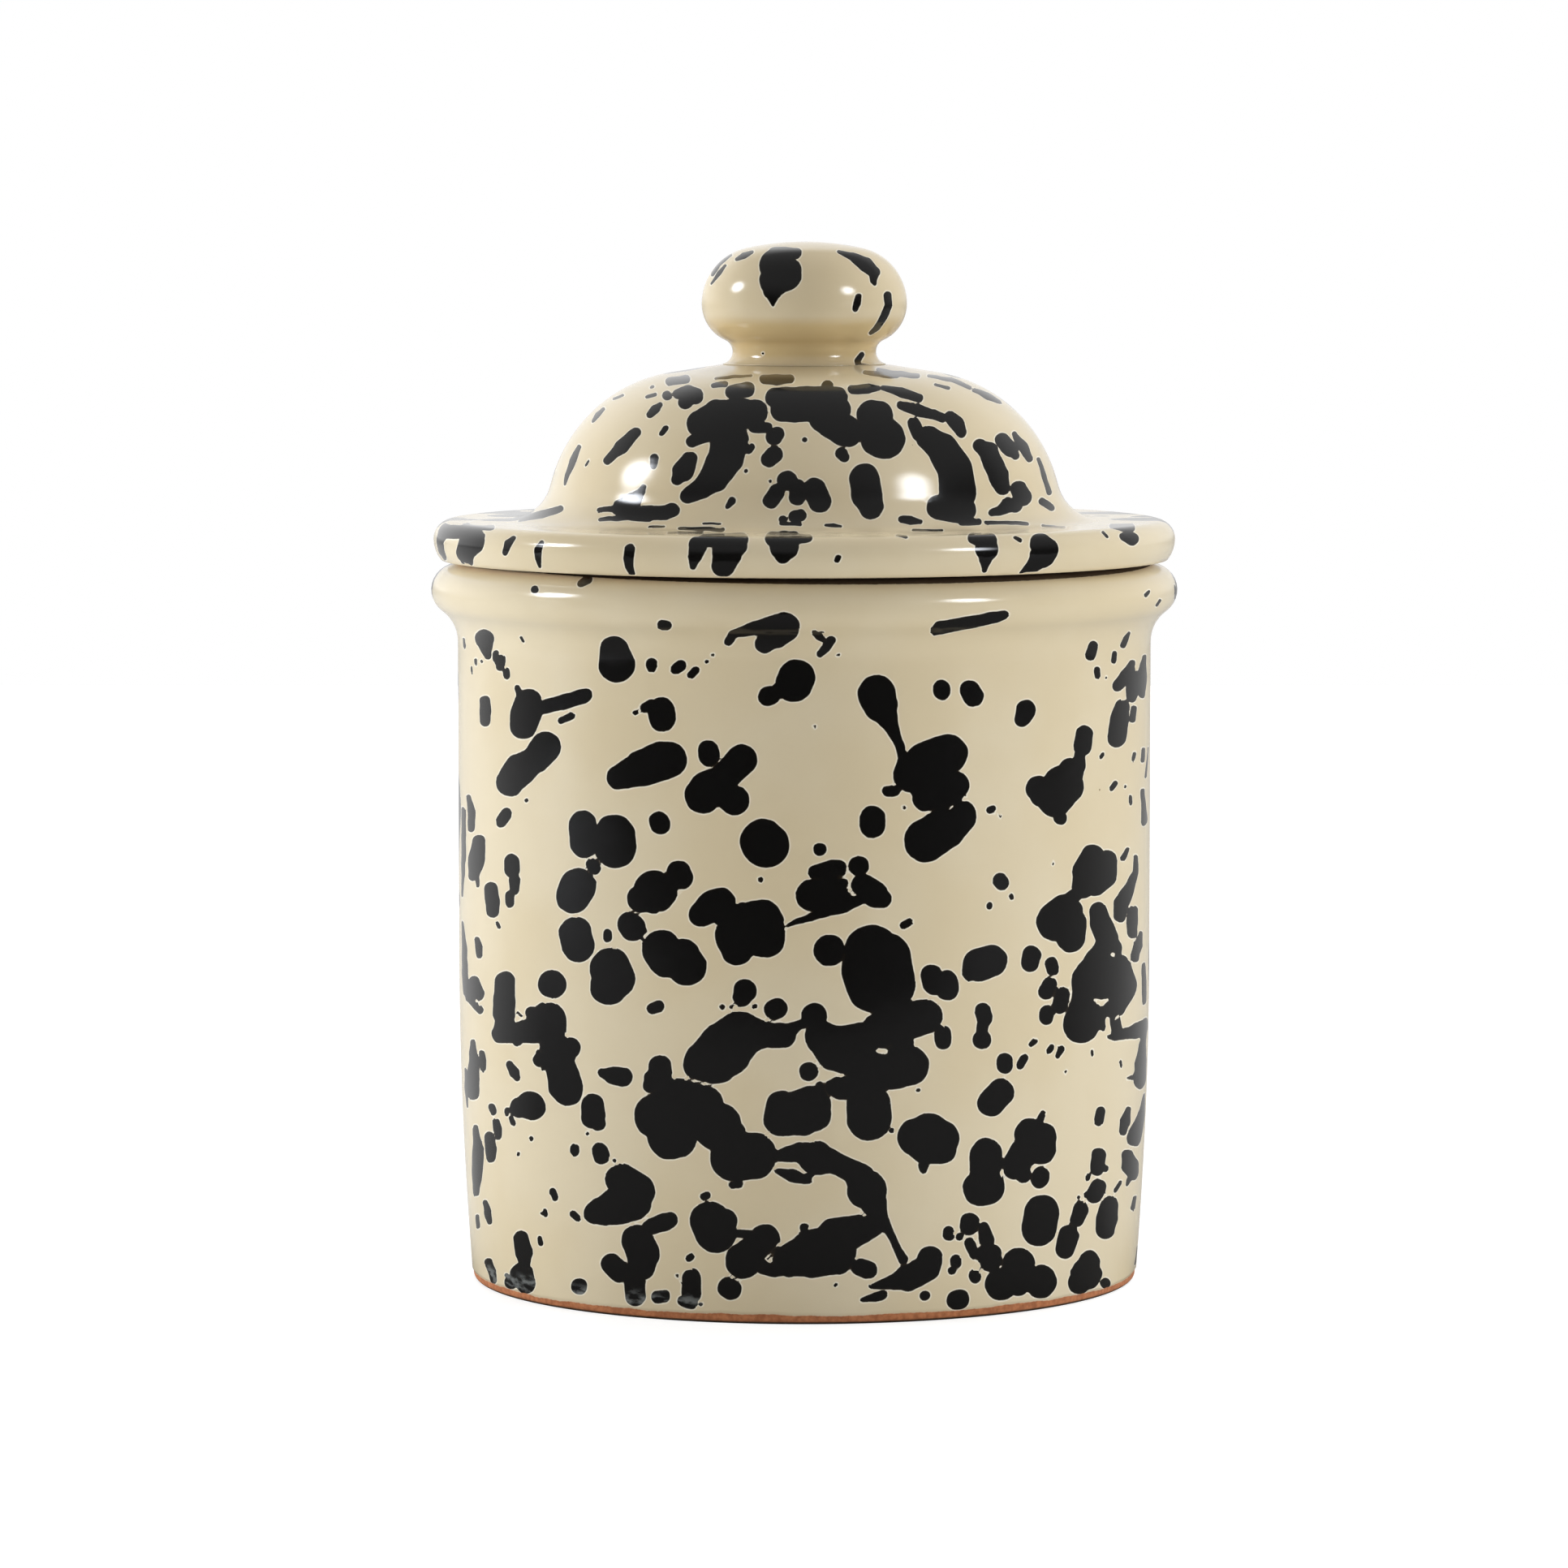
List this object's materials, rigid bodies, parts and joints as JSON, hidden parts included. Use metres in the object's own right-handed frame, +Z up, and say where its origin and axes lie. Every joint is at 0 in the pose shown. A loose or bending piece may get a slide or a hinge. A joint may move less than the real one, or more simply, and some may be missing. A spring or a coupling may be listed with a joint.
{
  "type": "lidded storage jar",
  "caption": "Round thrown earthenware storage jar with a rolled rim, a loose domed lid whose collar drops into the mouth, and a ball knob; cream glaze splashed with black.",
  "frame": {"origin": "centre of the foot, on the surface that the jar stands on", "axes": "+Z up along the axis that the jar was turned on; the picture looks along +Y, with +X to the right"},
  "size_m": [0.15, 0.15, 0.209],
  "materials": {
    "jar_glaze": "glossy cream tin glaze over terracotta, splashed with black; bare clay at the foot",
    "lid_glaze": "glossy cream tin glaze over terracotta, splashed with black; bare clay under the collar",
    "knob_glaze": "glossy cream tin glaze over terracotta, splashed with black"
  },
  "bodies": {
    "jar": {"jar_body": "jar_glaze"},
    "lid": {"lid": "lid_glaze", "lid_knob": "knob_glaze"}
  },
  "joints": [
    {"name": "lid_lift", "type": "slide", "parent": "jar", "child": "lid", "axis": [0, 0, 1], "range_m": [0, 0.15]}
  ]
}
